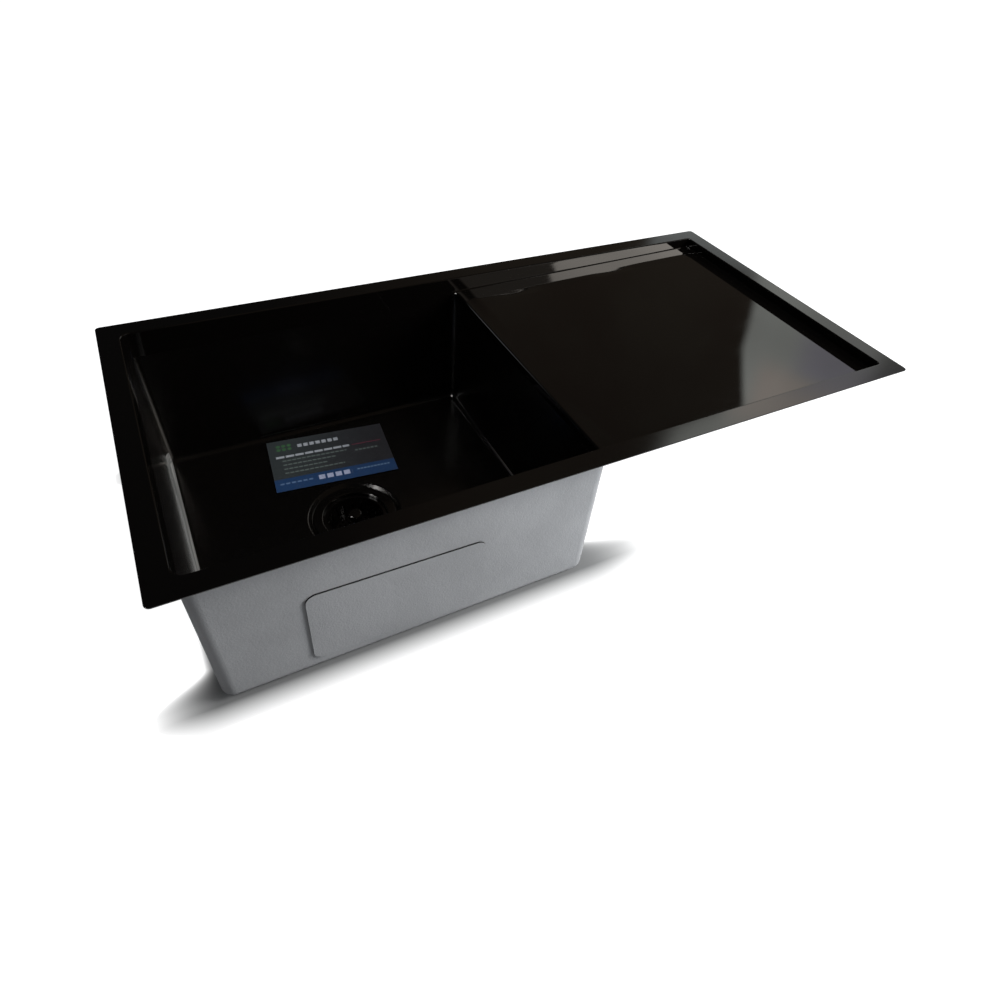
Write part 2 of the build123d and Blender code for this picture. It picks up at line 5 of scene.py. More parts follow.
import bpy
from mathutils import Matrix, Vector

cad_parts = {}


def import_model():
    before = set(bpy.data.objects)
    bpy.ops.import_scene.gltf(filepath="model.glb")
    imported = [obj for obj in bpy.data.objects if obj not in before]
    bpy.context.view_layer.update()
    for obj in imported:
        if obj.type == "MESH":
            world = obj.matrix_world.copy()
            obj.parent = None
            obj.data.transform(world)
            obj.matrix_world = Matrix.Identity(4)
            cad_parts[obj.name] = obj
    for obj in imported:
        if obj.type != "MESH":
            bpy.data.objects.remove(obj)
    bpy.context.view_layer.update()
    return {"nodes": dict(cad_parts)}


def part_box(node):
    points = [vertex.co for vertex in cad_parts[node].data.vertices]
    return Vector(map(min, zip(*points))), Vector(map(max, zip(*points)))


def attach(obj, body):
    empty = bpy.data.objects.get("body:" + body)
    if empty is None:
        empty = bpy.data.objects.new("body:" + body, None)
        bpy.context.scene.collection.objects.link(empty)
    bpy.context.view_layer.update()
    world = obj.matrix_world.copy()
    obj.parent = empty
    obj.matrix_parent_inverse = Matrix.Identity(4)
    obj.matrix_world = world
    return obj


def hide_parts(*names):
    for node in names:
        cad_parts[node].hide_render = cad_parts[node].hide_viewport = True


# Lengths are metres and turns are degrees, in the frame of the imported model.
# An edge is two numbers: its place, and the width of the soft step there
CAMERA_PLACE = (-0.3866, -0.6177, 0.4566)
CAMERA_TURN = (44.79, -4.29, -27.42)
CAMERA_LENS_MM = 23.53
CAMERA_NEAR = 0.01
SENSOR_MM = 36.0

# Share that counts as the whole, where rounding could miss it
NEARLY_ALL = 0.999
WHITE = (1.0, 1.0, 1.0)
UNLIT = (0.0, 0.0, 0.0)

# The room as gloss sees it. Azimuths run from +Y towards +X, elevations up from the horizon
AMBIENT = 0.27
DARK_GLOW = 0.012
ROOM_GLOW = (0.062, 0.046, 0.034)
ROOM_GLOW_PALE = (0.078, 0.064, 0.048)
ROOM_LEFT = (20.0, 30.0)
ROOM_UPPER = (33.0, 14.0)
ROOM_UPPER_GAIN = 0.5
LOW_WALL_SIDES = ((42.3, 1.2), (75.0, 10.0))
LOW_WALL_HEIGHTS = ((9.0, 5.0), (22.8, 0.8))
LOW_WALL_GLOW = (0.66, 0.70, 0.69)

# The curtain's left edge leans above its bend, and it has a sloping step to the left near its top
CURTAIN_LEFT = (51.7, 0.9)
CURTAIN_BEND = 29.3
CURTAIN_LEAN = 0.36
CURTAIN_STEP_LEFT = (49.0, 2.2)
CURTAIN_STEP_FOOT = (35.7, 0.5)
CURTAIN_STEP_FALL = 0.57
CURTAIN_RIGHT = (80.0, 10.0)
CURTAIN_HEIGHTS = ((9.0, 5.0), (46.0, 6.0))
CURTAIN_STRENGTH = 0.82
CURTAIN_BRIGHT_RIGHT = (57.0, 4.0)
CURTAIN_BRIGHT_GAIN = 0.22
CURTAIN_UPPER = (30.0, 5.0)
CURTAIN_UPPER_GAIN = 0.6
CURTAIN_SHADE_LEFT = (63.4, 2.0)
CURTAIN_SHADE = 0.65
CURTAIN_FOLDS = (0.9, 1.1)
CURTAIN_PLAIN = (0.95, 0.98, 0.92)
CURTAIN_WARM = (1.14, 1.02, 0.92)
CURTAIN_WARM_LEFT = (53.5, 2.0)
CURTAIN_WARM_HEIGHTS = ((29.7, 2.0), (33.7, 1.5))
CURTAIN_COOL = (0.96, 0.93, 1.05)
CURTAIN_COOL_LEFT = (56.5, 3.0)
CURTAIN_COOL_HEIGHTS = ((26.8, 1.0), (29.7, 1.5))

# Seen only by a ray that has bounced twice: the window and the wall that it is in.
# The depth of a ray that reaches the world is its bounces plus one
TWO_BOUNCES_DEPTH = 2.5
WINDOW_SIDES = ((118.0, 4.0), (146.8, 0.6))
WINDOW_HEIGHTS = ((12.0, 4.0), (40.0, 4.0))
WINDOW_GLOW = (21.5, 20.0, 18.2)
FRONT_WALL_SIDES = ((96.0, 20.0), (158.0, 8.0))
FRONT_WALL_HEIGHTS = ((6.0, 6.0), (40.0, 6.0))
FRONT_WALL_GLOW = (2.0, 1.75, 1.5)

# Seen only by a ray that has bounced once: two soft panels for views from other sides
PANEL_HEIGHTS = ((7.0, 4.0), (29.0, 6.0))
BACK_PANEL_SIDES = ((-43.0, 5.0), (-14.0, 9.0))
BACK_PANEL_GLOW = (0.80, 0.83, 0.86)
FRONT_PANEL_SIDES = ((112.0, 8.0), (152.0, 3.0))
FRONT_PANEL_GLOW = (0.34, 0.35, 0.37)

# A small strip overhead puts the glints on the waste. It is set by a direction's X and Y
STRIP_X = -0.64
STRIP_HALF_X = (0.05, 0.03)
STRIP_HALF_Y = (0.16, 0.05)
STRIP_GLOW = (45.0, 44.0, 43.0)

# Lamps
KEY_PLACE = (0.30, 0.05, 2.0)
KEY_AIM = (-0.05, 0.05, 0.0)
KEY_SIZE = (0.5, 0.5)
KEY_WATTS = 26.0
SIDE_PLACE = (1.117, -0.677, 0.75)
SIDE_AZIMUTH = 140.0
SIDE_SIZE = (0.6, 0.9)
SIDE_WATTS = 39.0
SIDE_COLOUR = (0.98, 0.96, 0.93)
FILL_PLACE = (0.42, -0.62, 0.02)
FILL_AIM = (-0.05, -0.2, -0.1)
FILL_SIZE = (0.25, 0.25)
FILL_WATTS = 3.0
FILL_COLOUR = (0.94, 0.98, 1.0)

# Stage: a floor under the tailpiece, and a wide round board at the bowl's foot with a hole for the waste
FLOOR_SIZE = 40.0
FLOOR_GAP = 0.001
BOARD_GAP = 0.0005
BOARD_HOLE_RADIUS = 0.075
BOARD_EDGES = 96
BOARD_SPREAD = 120.0
STAGE_DEEP = (0.200, 0.205, 0.210)
STAGE_PALE = (0.210, 0.215, 0.220)

# Painted contact shadow: the floor's white glow is held back round the bowl's foot. These set how far that
# reaches past the bowl's front and back and past its ends. In a band along the bowl's front, and one along
# its back, it is drawn out to the left and the right
SHADE_FRONT = 0.028
SHADE_SIDE = 0.012
SHADE_LEFT = 0.068
SHADE_RIGHT = 0.098
SHADE_TURN = 0.1
SHADE_BAND_INSET = 0.005
SHADE_BAND_HALF = (0.026, 0.039)
SHADE_GLOW = 0.88

# The deck: edges of its rim and drainer, and the waves and sag of the drainer's sheet
RIM_FOOT = (-0.001, 0.002)
DRAINER_TOP = (-0.008, 0.004)
DRAINER_LEFT = (0.02, 0.02)
FACING_UP = (0.95, 0.08)
WAVE_CREST = 0.275
WAVE_LENGTH = 0.185
WAVE_HEIGHT = 0.0006
WAVE_START_X = 0.170
WAVE_START_Y = 0.168
WAVE_START_SLOPE = 0.027
WAVE_SOFTNESS = 0.018
SAG = 0.042

# Painted highlight in the bowl: grey streaks in the colour along its left and right floor folds, in place
# of reflections. Edges measured inwards and up from its box
LEFT_HIGHLIGHT_WIDTH = (0.0070, 0.0012)
LEFT_HIGHLIGHT_HEIGHT = (0.0225, 0.002)
LEFT_HIGHLIGHT_SPREAD = 0.012
RIGHT_HIGHLIGHT_WIDTH = (0.0051, 0.0008)
RIGHT_HIGHLIGHT_HEIGHT = (0.0096, 0.0008)
RIGHT_HIGHLIGHT_BACK = (0.02, 0.25)
HIGHLIGHT_DEEP = (0.080, 0.082, 0.082)
HIGHLIGHT_PALE = (0.155, 0.157, 0.155)

# Finishes. The three colours of the sprayed coating are multiplied by how light it is
COATED_BLACK = (0.0013, 0.0011, 0.001)
DUST_GREY = (0.012, 0.011, 0.010)
SPRAY_PALE = (1.06, 1.08, 1.13)
SPRAY_DEEP = (0.90, 0.92, 0.96)
SPRAY_SPECK = (0.55, 0.55, 0.56)
SPRAY_SPECK_SHARE = 0.35
SPRAY_LIGHT = 0.30
PAD_LIGHT = 0.29
PAD_EDGE_BLACK = (0.02, 0.02, 0.02)
STEEL_DEEP = (0.47, 0.46, 0.45)
STEEL_PALE = (0.62, 0.62, 0.61)
CHROME_CLEAN = (0.8, 0.8, 0.82)
CHROME_MARKED = (0.7, 0.7, 0.71)
RUBBER_BLACK = (0.018, 0.018, 0.019)
RUBBER_BLOOM = (0.05, 0.05, 0.05)
FIBRE_DARK = (0.30, 0.19, 0.09)
FIBRE_LIGHT = (0.55, 0.41, 0.25)
NUT_DEEP = (0.60, 0.60, 0.57)
NUT_PALE = (0.74, 0.74, 0.71)

# The label's print is laid out in millimetres from the label's middle
LABEL_SIZE_MM = (174.0, 111.0)
LABEL_TURN = -6.0
LABEL_LIFT = 0.0012
LABEL_CURL_REACH = 0.028
LABEL_CELLS = (48, 32)
LABEL_SMOOTH_ANGLE = 30.0
MM = 0.001
FOOT_TOP = -30.0
PRINT_EDGE = 1.3
INK_SLATE = (0.025, 0.030, 0.032)
INK_BLACK = (0.018, 0.018, 0.021)
INK_FADE = 150.0
INK_BLUE = (0.012, 0.034, 0.092)
INK_GREEN = (0.035, 0.09, 0.04)
INK_RED = (0.11, 0.022, 0.04)
INK_PALE = (0.26, 0.28, 0.31)
INK_DULL = (0.085, 0.105, 0.10)
INK_PALE_BLUE = (0.27, 0.30, 0.42)
INK_MIDDLE_BLUE = (0.10, 0.16, 0.26)
INK_DULL_BLUE = (0.07, 0.12, 0.22)
RUBBED_GREY = (0.045, 0.05, 0.055)
RUBBED_SHARE = 0.25


def unselect():
    bpy.ops.object.select_all(action="DESELECT")


class Value:
    """What a node gives, as a number that can be used in sums."""

    def __init__(self, nodes, socket):
        self.nodes = nodes
        self.socket = socket

    def of(self, operation, *others):
        """A Math operation on this value and perhaps others, in that order."""
        return self.nodes.maths(operation, self, *others)

    def __add__(self, other):
        return self.of("ADD", other)

    def __sub__(self, other):
        return self.of("SUBTRACT", other)

    def __rsub__(self, other):
        return self.nodes.maths("SUBTRACT", other, self)

    def __mul__(self, other):
        return self.of("MULTIPLY", other)

    def __truediv__(self, other):
        return self.of("DIVIDE", other)

    def __gt__(self, other):
        return self.of("GREATER_THAN", other)

    def __lt__(self, other):
        return self.of("LESS_THAN", other)

    def __abs__(self):
        return self.of("ABSOLUTE")

    __radd__ = __add__
    __rmul__ = __mul__

    def at_least(self, other):
        """The larger of two values."""
        return self.of("MAXIMUM", other)

    def clamped(self):
        """Held between 0 and 1."""
        return self.at_least(0).of("MINIMUM", 1)

    def above(self, level, width):
        """0 below a level, 1 above it, with a soft step of some width."""
        inputs = {"Value": self, "From Min": level - width / 2, "From Max": level + width / 2}
        return self.nodes.node("MapRange", inputs, interpolation_type="SMOOTHSTEP")

    def below(self, level, width):
        return 1 - self.above(level, width)

    def within(self, low_edge, high_edge):
        """1 between two edges."""
        return self.above(*low_edge) * self.below(*high_edge)

    def spread(self, low, high):
        """A share from 0 to 1, as a number from low to high."""
        return low + self * (high - low)


class Nodes:
    """A node tree that is written as expressions."""

    # Sockets of a Mix node that are used when it mixes colours
    MIX_SHARE = 0
    MIX_FIRST = 6
    MIX_SECOND = 7
    MIX_RESULT = 2

    def __init__(self, tree):
        self.tree = tree

    def feed(self, socket, value):
        if isinstance(value, Value):
            self.tree.links.new(value.socket, socket)
        elif hasattr(value, "__len__") and len(socket.default_value) == len(value) + 1:
            socket.default_value = (*value, 1.0)
        else:
            socket.default_value = value

    def node(self, kind, inputs, out=0, **settings):
        """Adds a node of a kind: its settings first, then the values or links of its sockets."""
        made = self.tree.nodes.new("ShaderNode" + kind)
        for name, setting in settings.items():
            setattr(made, name, setting)
        for key, value in inputs.items():
            self.feed(made.inputs[key], value)
        return Value(self, made.outputs[out])

    def maths(self, operation, *terms):
        return self.node("Math", dict(enumerate(terms)), operation=operation)

    def ray(self, question):
        """What the Light Path node says of a ray."""
        return self.node("LightPath", {}, out=question)

    def axes(self, vector):
        split = self.node("SeparateXYZ", {"Vector": vector}).socket.node
        return [Value(self, socket) for socket in split.outputs]

    def noise(self, place, scale, detail=3.0, roughness=0.5):
        inputs = {"Vector": place, "Scale": scale, "Detail": detail, "Roughness": roughness}
        return self.node("TexNoise", inputs)

    def stretched(self, place, *factors):
        """A place or direction multiplied along each axis."""
        return self.node("Mapping", {"Vector": place, "Scale": factors})

    def blend(self, share, first, second):
        """Colour that goes from the first to the second with a share from 0 to 1."""
        inputs = {self.MIX_SHARE: share, self.MIX_FIRST: first, self.MIX_SECOND: second}
        return self.node("Mix", inputs, out=self.MIX_RESULT, data_type="RGBA")


class Finish(Nodes):
    """One surface finish on Principled BSDF. Plain values are set on its own sockets."""

    def __init__(self, name):
        self.material = bpy.data.materials.new(name)
        self.material.use_nodes = True
        super().__init__(self.material.node_tree)
        self.shader = self.tree.nodes["Principled BSDF"]
        self.place = self.node("TexCoord", {}, out="Object")

    def set(self, socket, value):
        self.feed(self.shader.inputs[socket], value)

    def streaks(self, *factors):
        """Object coordinates multiplied along each axis."""
        return self.stretched(self.place, *factors)

    def bump(self, height, depth, strength=1.0, under=None):
        """Bump of a height that is multiplied by a depth in metres, on top of another bump."""
        inputs = {"Height": height, "Distance": depth, "Strength": strength}
        if under:
            inputs["Normal"] = under
        return self.node("Bump", inputs)


class GlossBlack(Finish):
    """Black coated steel: a clear gloss with a slow ripple and a little dust."""

    def __init__(self, name, ripple_depth):
        super().__init__(name)
        self.dust = self.noise(self.place, scale=900, detail=2.0).above(0.76, width=0.06)
        self.base = self.blend(self.dust, COATED_BLACK, DUST_GREY)
        ripple = self.bump(self.noise(self.place, scale=7, detail=1.0), ripple_depth)
        grain = self.noise(self.place, scale=380, detail=2.0)
        self.normal = self.bump(grain, depth=0.000004, under=ripple)
        self.set("Base Color", self.base)
        self.set("Normal", self.normal)


def deck_black():
    """The deck's black: mirror-like in the recess, a shade duller on the rim.

    The drainer's sheet sags by a millimetre or two and is a little wavy along its back fold.
    """
    finish = GlossBlack("deck_black", ripple_depth=0.00012)
    x, y, z = finish.axes(finish.place)
    rim = z.above(*RIM_FOOT)
    smears = finish.noise(finish.streaks(4, 12, 12), scale=3.0, detail=4.0, roughness=0.6)
    smeared = smears.above(0.6, width=0.3)
    finish.set("Roughness", rim.spread(0.03, 0.10) + smeared.spread(0, 0.025))
    phase = (x - WAVE_CREST) * (math.tau / WAVE_LENGTH)
    wave_start = WAVE_START_Y + (x - WAVE_START_X) * WAVE_START_SLOPE
    wave = phase.of("COSINE") * -WAVE_HEIGHT * (y - wave_start).above(0, WAVE_SOFTNESS)
    up = finish.axes(finish.node("NewGeometry", {}, out="Normal"))[2]
    drainer = up.above(*FACING_UP) * z.below(*DRAINER_TOP) * x.above(*DRAINER_LEFT)
    shape = (wave + y * y * SAG) * drainer
    finish.set("Normal", finish.bump(shape, depth=1.0, under=finish.normal))
    return finish.material


def bowl_black():
    """The bowl's black: a softer gloss with draw streaks, and a painted highlight of grey streaks along
    two floor folds.
    """
    finish = GlossBlack("bowl_black", ripple_depth=0.0003)
    streaks = finish.noise(finish.streaks(260, 6, 260), scale=1.0, roughness=0.6)
    finish.set("Roughness", streaks.spread(0.2, 0.26))
    low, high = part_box("bowl")
    x, y, z = finish.axes(finish.place)
    height = z - low.z
    # Painted highlight: grey streaks laid into the colour along the left and right floor folds, standing
    # in for their reflections
    left = (x - low.x).below(*LEFT_HIGHLIGHT_WIDTH) * (height - y * LEFT_HIGHLIGHT_SPREAD).below(*LEFT_HIGHLIGHT_HEIGHT)
    right = (high.x - x).below(*RIGHT_HIGHLIGHT_WIDTH) * height.below(*RIGHT_HIGHLIGHT_HEIGHT)
    painted_highlight = left + right * y.below(*RIGHT_HIGHLIGHT_BACK)
    highlight_streaks = finish.noise(finish.streaks(300, 4, 300), scale=1.0, roughness=0.55)
    highlight_colour = finish.blend(highlight_streaks.above(0.47, width=0.22), HIGHLIGHT_DEEP, HIGHLIGHT_PALE)
    finish.set("Base Color", finish.blend(painted_highlight, finish.base, highlight_colour))
    return finish.material


def waste_black():
    """The waste's black: wiped, with smears that are a little duller."""
    finish = GlossBlack("waste_black", ripple_depth=0.0001)
    smears = finish.noise(finish.streaks(3, 9, 9), scale=2.2, detail=4.0, roughness=0.6)
    smeared = smears.above(0.55, width=0.3)
    finish.set("Roughness", smeared.spread(0.10, 0.12) + finish.dust.spread(0, 0.2))
    return finish.material


def coat_colour(finish, light):
    """Grey of the sprayed coating: a little cloudy from the passes of the gun, with dark specks."""
    clouds = finish.noise(finish.place, scale=9)
    specks = finish.noise(finish.place, scale=1400, detail=2.0).above(0.66, width=0.1)
    pale, deep, speck = ([part * light for part in tint] for tint in (SPRAY_PALE, SPRAY_DEEP, SPRAY_SPECK))
    body = finish.blend(clouds.above(0.5, width=0.5), deep, pale)
    return finish.blend(specks * SPRAY_SPECK_SHARE, body, speck)


def coat_bump(finish):
    """Pebbled face of the sprayed coating, with a slow swell."""
    pebbles = finish.bump(finish.noise(finish.place, scale=420, roughness=0.55), depth=0.00035)
    swell = finish.noise(finish.place, scale=60, detail=2.0)
    return finish.bump(swell, depth=0.0008, strength=0.5, under=pebbles)


def spray_coat():
    """Sprayed grey coating: matt and pebbled."""
    finish = Finish("spray_coat")
    finish.set("Roughness", 0.88)
    finish.set("Specular IOR Level", 0.3)
    finish.set("Base Color", coat_colour(finish, SPRAY_LIGHT))
    finish.set("Normal", coat_bump(finish))
    return finish.material


def box_pad(axis):
    """Pad whose face looks along one axis: the coating is on the face and stops at the edges."""
    finish = Finish("sound_pad_" + "xyz"[axis])
    finish.set("Specular IOR Level", 0.3)
    normal = finish.node("NewGeometry", {}, out="Normal")
    face = abs(finish.axes(normal)[axis]).above(0.8, width=0.2)
    finish.set("Base Color", finish.blend(face, PAD_EDGE_BLACK, coat_colour(finish, PAD_LIGHT)))
    finish.set("Roughness", face.spread(0.7, 0.85))
    finish.set("Normal", coat_bump(finish))
    return finish.material


def brushed_steel():
    """Plain stainless sheet with its rolled grain along the sink."""
    finish = Finish("brushed_steel")
    finish.set("Metallic", 1.0)
    grain = finish.noise(finish.streaks(12, 700, 700), scale=1.0, detail=4.0, roughness=0.6)
    finish.set("Base Color", finish.blend(grain, STEEL_DEEP, STEEL_PALE))
    finish.set("Roughness", grain.spread(0.26, 0.46))
    finish.set("Normal", finish.bump(grain, depth=0.00004))
    return finish.material


def chrome():
    """Chrome plate with finger marks."""
    finish = Finish("chrome")
    finish.set("Metallic", 1.0)
    prints = finish.noise(finish.place, scale=60, detail=4.0, roughness=0.65)
    marks = prints.above(0.55, width=0.25)
    finish.set("Base Color", finish.blend(marks, CHROME_CLEAN, CHROME_MARKED))
    finish.set("Roughness", marks.spread(0.05, 0.17))
    polish = finish.noise(finish.place, scale=500, detail=2.0)
    finish.set("Normal", finish.bump(polish, depth=0.000006))
    return finish.material


def rubber():
    """Black moulded rubber with a pale bloom in places."""
    finish = Finish("black_rubber")
    finish.set("Specular IOR Level", 0.35)
    bloom = finish.noise(finish.place, scale=90, detail=5.0, roughness=0.7).above(0.6, width=0.3)
    finish.set("Base Color", finish.blend(bloom, RUBBER_BLACK, RUBBER_BLOOM))
    finish.set("Roughness", bloom.spread(0.55, 0.85))
    grain = finish.noise(finish.place, scale=1600, detail=2.0)
    finish.set("Normal", finish.bump(grain, depth=0.00008))
    return finish.material


def fibre():
    """Pressed tan fibre with short dark and light strands."""
    finish = Finish("pressed_fibre")
    finish.set("Roughness", 0.9)
    finish.set("Specular IOR Level", 0.2)
    strands = finish.noise(finish.streaks(1, 1, 3), scale=900, detail=5.0, roughness=0.75)
    light = strands.above(0.5, width=0.4)
    finish.set("Base Color", finish.blend(light, FIBRE_DARK, FIBRE_LIGHT))
    finish.set("Normal", finish.bump(strands, depth=0.0002))
    return finish.material


def nut_plastic():
    """Off-white moulded plastic with faint flow marks."""
    finish = Finish("nut_plastic")
    flow = finish.noise(finish.streaks(1, 1, 4), scale=45, detail=4.0, roughness=0.6)
    finish.set("Base Color", finish.blend(flow, NUT_DEEP, NUT_PALE))
    finish.set("Roughness", flow.spread(0.38, 0.54))
    finish.set("Normal", finish.bump(finish.noise(finish.place, scale=700), depth=0.00006))
    return finish.material


class Print:
    """Flat print on the label, laid out in millimetres along and across it."""

    def __init__(self, finish, along, across, ground):
        self.finish = finish
        self.along = along
        self.across = across
        self.ink = ground

    def bar(self, left, right, low, high, colour, pitch=0.0, duty=0.7):
        """Filled bar. Where it has a pitch it is cut into dashes, and duty is the inked share of each."""
        inside = self.along.within((left, PRINT_EDGE), (right, PRINT_EDGE))
        inside = inside * self.across.within((low, PRINT_EDGE), (high, PRINT_EDGE))
        if pitch:
            inside = inside * (((self.along - left) / pitch).of("FRACT") < duty)
        self.ink = self.finish.blend(inside, self.ink, colour)

    def dot(self, x, y, radius, colour):
        """Filled round dot."""
        along = self.along - x
        across = self.across - y
        inside = (along * along + across * across).below(radius * radius, radius)
        self.ink = self.finish.blend(inside, self.ink, colour)


def label_print():
    """The care label's print: a dark upper part with plain bars, and a blue foot with pale blocks."""
    finish = Finish("label_print")
    finish.set("Roughness", 0.34)
    low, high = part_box("care_label")
    laid = {
        "Vector": finish.place,
        "Location": (low + high) / 2,
        "Rotation": (0, 0, math.radians(LABEL_TURN)),
        "Scale": (MM, MM, MM),
    }
    along, across, _ = finish.axes(finish.node("Mapping", laid, vector_type="TEXTURE"))
    right = LABEL_SIZE_MM[0] / 2
    top = LABEL_SIZE_MM[1] / 2
    ground = finish.blend(along.above(0, INK_FADE), INK_SLATE, INK_BLACK)
    art = Print(finish, along, across, ground)
    art.bar(-right, right, -top, FOOT_TOP, INK_BLUE)
    for x in (-72, -64, -56):
        for y in (34, 42):
            art.dot(x, y, radius=3.0, colour=INK_GREEN)
    art.bar(-44, 18, 34, 41, INK_PALE, pitch=9.0, duty=0.72)
    art.bar(-78, 30, 15, 19.5, INK_PALE, pitch=14.0, duty=0.86)
    art.bar(34, 78, 16.5, 18, INK_RED)
    for row, row_end in enumerate((24, 6, -8, 16)):
        y = 8 - 9 * row
        art.bar(-70, row_end, y - 1.2, y + 1.2, INK_DULL, pitch=7.0, duty=0.8)
    art.bar(36, 70, 2, 5, INK_DULL, pitch=6.0)
    art.bar(-26, 22, -45, -36, INK_PALE_BLUE, pitch=12.0, duty=0.75)
    art.bar(30, 78, -40, -37.5, INK_MIDDLE_BLUE, pitch=5.0)
    art.bar(-80, -34, -42, -39, INK_DULL_BLUE, pitch=8.0)
    rubbed = finish.noise(finish.place, scale=220, detail=4.0, roughness=0.6).above(0.62, width=0.2)
    finish.set("Base Color", finish.blend(rubbed * RUBBED_SHARE, art.ink, RUBBED_GREY))
    waves = finish.noise(finish.place, scale=35, detail=2.0)
    finish.set("Normal", finish.bump(waves, depth=0.0008))
    return finish.material


def care_label():
    """Label as a thin film with a slight curl at its corners, in place of the flat solid."""
    low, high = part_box("care_label")
    middle = (low + high) / 2
    length, width = (size * MM for size in LABEL_SIZE_MM)
    unselect()
    bpy.ops.mesh.primitive_grid_add(
        x_subdivisions=LABEL_CELLS[0],
        y_subdivisions=LABEL_CELLS[1],
        size=1,
        location=(middle.x, middle.y, low.z),
    )
    film = bpy.context.object
    film.name = "care_label_film"
    film.scale = (length, width, 1)
    film.rotation_euler.z = math.radians(LABEL_TURN)
    bpy.ops.object.transform_apply(location=False, rotation=False, scale=True)
    for vertex in film.data.vertices:
        at_end = abs(vertex.co.x) > NEARLY_ALL * length / 2
        at_side = abs(vertex.co.y) > NEARLY_ALL * width / 2
        vertex.select = at_end and at_side
    bpy.ops.object.mode_set(mode="EDIT")
    bpy.ops.transform.translate(
        value=(0, 0, LABEL_LIFT),
        use_proportional_edit=True,
        proportional_edit_falloff="SMOOTH",
        proportional_size=LABEL_CURL_REACH,
    )
    bpy.ops.object.mode_set(mode="OBJECT")
    bpy.ops.object.transform_apply(location=True, rotation=True, scale=True)
    thick = film.modifiers.new("film", "SOLIDIFY")
    thick.thickness = high.z - low.z
    thick.offset = 1.0
    bpy.ops.object.modifier_apply(modifier=thick.name)
    bpy.ops.object.shade_smooth_by_angle(angle=math.radians(LABEL_SMOOTH_ANGLE))
    film.data.materials.append(label_print())
    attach(film, "root")
    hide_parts("care_label")


def dress(nodes):
    """Gives every CAD node that stays its finish."""
    finishes = (
        (deck_black(), "deck"),
        (bowl_black(), "bowl"),
        (waste_black(), "strainer_body", "strainer_basket", "plug_knob"),
        (spray_coat(), "bowl_coating", "drainer_coating"),
        (box_pad(0), "left_sound_pad", "right_sound_pad"),
        (box_pad(1), "front_sound_pad", "back_sound_pad"),
        (box_pad(2), "floor_sound_pads", "drainer_sound_pad"),
        (brushed_steel(), "drainer_stiffeners", "plug_post", "seal_retainer"),
        (chrome(), "tailpiece", "coupling_nut"),
        (rubber(), "flange_gasket", "underside_washer", "tailpiece_washer", "plug_seal"),
        (fibre(), "friction_ring"),
        (nut_plastic(), "lock_nut"),
    )
    for material, *names in finishes:
        for name in names:
            nodes[name].data.materials.clear()
            nodes[name].data.materials.append(material)


class Room(Nodes):
    """What gloss sees in each direction: lit patches, laid over one another in a dark room."""

    def __init__(self, tree):
        super().__init__(tree)
        self.direction = self.node("TexCoord", {}, out="Generated")
        self.x, self.y, self.z = self.axes(self.direction)
        self.azimuth = self.x.of("ARCTAN2", self.y) * math.degrees(1)
        self.elevation = self.z.of("ARCSINE") * math.degrees(1)
        self.bounced_twice = self.ray("Ray Depth") > TWO_BOUNCES_DEPTH
        self.seen = (DARK_GLOW,) * 3

    def patch(self, sides, heights):
        """1 inside a patch with a left and a right edge, a foot and a top."""
        return self.azimuth.within(*sides) * self.elevation.within(*heights)

    def lay(self, where, glow):
        """Lays a glow over what is seen so far, where a mask is 1."""
        self.seen = self.blend(where, self.seen, glow)

    def lit_side(self):
        """The side of the room that isn't dark, with faint clouds."""
        clouds = self.noise(self.direction, scale=5.0, roughness=0.6).above(0.5, width=0.3)
        upper = 1 + self.elevation.above(*ROOM_UPPER) * ROOM_UPPER_GAIN
        glow = self.blend(clouds, ROOM_GLOW, ROOM_GLOW_PALE)
        self.lay(self.azimuth.above(*ROOM_LEFT) * upper, glow)

    def curtain(self):
        """A lit curtain, with a warm and a cool stretch and a shaded right part."""
        lean = (self.elevation - CURTAIN_BEND) * CURTAIN_LEAN
        body = (self.azimuth - lean.at_least(0)).above(*CURTAIN_LEFT)
        slope = (self.azimuth - CURTAIN_STEP_LEFT[0]) * CURTAIN_STEP_FALL
        step = (self.elevation + slope).above(*CURTAIN_STEP_FOOT)
        step = step * self.azimuth.above(*CURTAIN_STEP_LEFT)
        where = body.at_least(step) * self.azimuth.below(*CURTAIN_RIGHT)
        where = where * self.elevation.within(*CURTAIN_HEIGHTS)

        bright = self.azimuth.below(*CURTAIN_BRIGHT_RIGHT) * CURTAIN_BRIGHT_GAIN
        upper = self.elevation.above(*CURTAIN_UPPER) * CURTAIN_UPPER_GAIN
        shade = 1 - self.azimuth.above(*CURTAIN_SHADE_LEFT) * CURTAIN_SHADE
        folds = self.noise(self.stretched(self.direction, 9, 9, 1.5), scale=2.0, detail=2.0)
        strength = (CURTAIN_STRENGTH + bright + upper) * shade * folds.spread(*CURTAIN_FOLDS)

        warm = self.azimuth.above(*CURTAIN_WARM_LEFT) * self.elevation.within(*CURTAIN_WARM_HEIGHTS)
        cool = self.azimuth.above(*CURTAIN_COOL_LEFT) * self.elevation.within(*CURTAIN_COOL_HEIGHTS)
        colour = self.blend(warm, CURTAIN_PLAIN, CURTAIN_WARM)
        colour = self.blend(cool, colour, CURTAIN_COOL)
        self.lay(where, self.node("VectorMath", {0: colour, "Scale": strength}, operation="SCALE"))

    def strip(self):
        """Small bright strip overhead."""
        near_x = abs(self.x - STRIP_X).below(*STRIP_HALF_X)
        near_y = abs(self.y).below(*STRIP_HALF_Y)
        self.lay(near_x * near_y * (self.z > 0), STRIP_GLOW)


